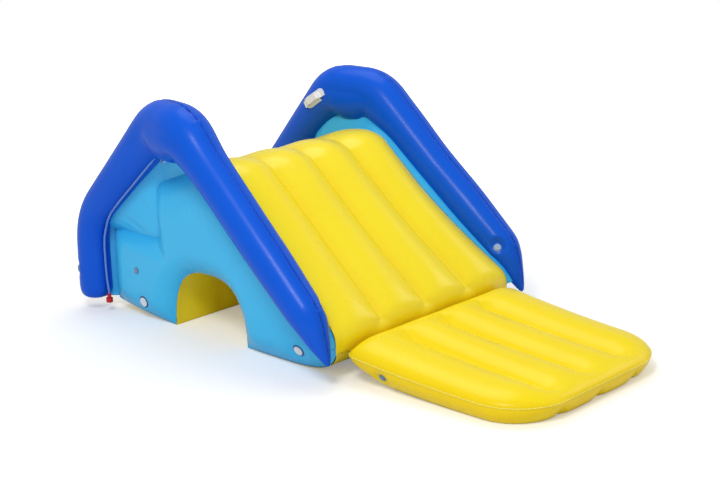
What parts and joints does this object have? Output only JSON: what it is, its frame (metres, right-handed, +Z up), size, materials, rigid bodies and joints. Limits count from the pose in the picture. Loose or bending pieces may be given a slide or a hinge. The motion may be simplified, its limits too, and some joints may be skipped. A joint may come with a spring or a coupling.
{
  "type": "inflatable water slide",
  "caption": "Inflatable pool slide with a lobed yellow lane over a cross tunnel, light-blue side panels, dark-blue tube rails and a flat lobed run-out mat.",
  "frame": {"origin": "On the floor, under the middle of the overall length and width.", "axes": "+X runs down the slide to the run-out mat, +Y is the rider's left, +Z is up."},
  "size_m": [2.425, 1.3276, 0.998],
  "materials": {
    "royal_vinyl": "glossy coated sheet",
    "sky_vinyl": "glossy sheet",
    "deck_vinyl": "glossy sheet",
    "mat_vinyl": "glossy sheet",
    "white_plastic": "satin moulding",
    "white_plug": "satin moulding",
    "navy_plastic": "satin moulding",
    "clear_valve": "clear soft moulding",
    "hose_lilac": "smooth soft tube",
    "coupling_red": "moulded"
  },
  "bodies": {
    "slide_body": {"baffle_left": "sky_vinyl", "baffle_middle": "sky_vinyl", "baffle_right": "sky_vinyl", "body_flange": "mat_vinyl", "body_valve": "clear_valve", "crest_riser": "deck_vinyl", "front_base": "deck_vinyl", "front_port_left": "navy_plastic", "front_port_right": "navy_plastic", "handle_left_grip": "white_plastic", "handle_left_pad": "white_plastic", "handle_right_grip": "white_plastic", "handle_right_pad": "white_plastic", "hose_coupling": "coupling_red", "rail_front_valve_left": "clear_valve", "rail_front_valve_right": "clear_valve", "rail_left": "royal_vinyl", "rail_rear_valve_left": "clear_valve", "rail_rear_valve_right": "clear_valve", "rail_right": "royal_vinyl", "rail_web_left": "sky_vinyl", "rail_web_right": "sky_vinyl", "rear_base": "deck_vinyl", "rear_port_left": "navy_plastic", "rear_port_right": "navy_plastic", "rear_wall": "deck_vinyl", "side_panel_left": "sky_vinyl", "side_panel_right": "sky_vinyl", "slide_deck": "deck_vinyl", "spray_nozzle": "white_plastic", "sprinkler_hose": "hose_lilac", "step_tread": "deck_vinyl", "tunnel_lining": "deck_vinyl"},
    "mat": {"runout_mat": "mat_vinyl", "mat_flange": "mat_vinyl", "mat_valve": "clear_valve"},
    "body_valve_cap_piece": {"body_valve_cap": "clear_valve"},
    "mat_valve_cap_piece": {"mat_valve_cap": "clear_valve"},
    "rail_front_valve_cap_left_piece": {"rail_front_valve_cap_left": "clear_valve"},
    "rail_front_valve_cap_right_piece": {"rail_front_valve_cap_right": "clear_valve"},
    "rail_rear_valve_cap_left_piece": {"rail_rear_valve_cap_left": "clear_valve"},
    "rail_rear_valve_cap_right_piece": {"rail_rear_valve_cap_right": "clear_valve"},
    "front_plug_left_piece": {"front_plug_left": "white_plug"},
    "front_plug_right_piece": {"front_plug_right": "white_plug"},
    "rear_plug_left_piece": {"rear_plug_left": "white_plug"},
    "rear_plug_right_piece": {"rear_plug_right": "white_plug"},
    "nut": {"coupling_nut": "coupling_red"}
  },
  "joints": [
    {"name": "mat_fold", "type": "hinge", "parent": "slide_body", "child": "mat", "pos_m": [0.3365, 0, 0.119], "axis": [0, -1, 0], "range_deg": [0, 25]},
    {"name": "body_valve_cap_pull", "type": "slide", "parent": "slide_body", "child": "body_valve_cap_piece", "axis": [0, -1, 0], "range_m": [0, 0.012]},
    {"name": "mat_valve_cap_pull", "type": "slide", "parent": "mat", "child": "mat_valve_cap_piece", "axis": [-0.0355, -0.8642, -0.5019], "range_m": [0, 0.012]},
    {"name": "rail_front_valve_cap_left_pull", "type": "slide", "parent": "slide_body", "child": "rail_front_valve_cap_left_piece", "axis": [0.5062, -0.7181, 0.4776], "range_m": [0, 0.012]},
    {"name": "rail_front_valve_cap_right_pull", "type": "slide", "parent": "slide_body", "child": "rail_front_valve_cap_right_piece", "axis": [0.5062, 0.7181, 0.4776], "range_m": [0, 0.012]},
    {"name": "rail_rear_valve_cap_left_pull", "type": "slide", "parent": "slide_body", "child": "rail_rear_valve_cap_left_piece", "axis": [-0.5556, 0.8315, 0], "range_m": [0, 0.012]},
    {"name": "rail_rear_valve_cap_right_pull", "type": "slide", "parent": "slide_body", "child": "rail_rear_valve_cap_right_piece", "axis": [-0.5556, -0.8315, 0], "range_m": [0, 0.012]},
    {"name": "front_plug_left_pull", "type": "slide", "parent": "slide_body", "child": "front_plug_left_piece", "axis": [0.0405, 0.9184, -0.3936], "range_m": [0, 0.014]},
    {"name": "front_plug_right_pull", "type": "slide", "parent": "slide_body", "child": "front_plug_right_piece", "axis": [0.0405, -0.9184, -0.3936], "range_m": [0, 0.014]},
    {"name": "rear_plug_left_pull", "type": "slide", "parent": "slide_body", "child": "rear_plug_left_piece", "axis": [-0.0242, 0.984, -0.1767], "range_m": [0, 0.014]},
    {"name": "rear_plug_right_pull", "type": "slide", "parent": "slide_body", "child": "rear_plug_right_piece", "axis": [-0.0242, -0.984, -0.1767], "range_m": [0, 0.014]},
    {"name": "nut_spin", "type": "hinge", "parent": "slide_body", "child": "nut", "pos_m": [-1.0543, -0.546, 0.0562], "axis": [0, 0, 1], "continuous": true}
  ]
}
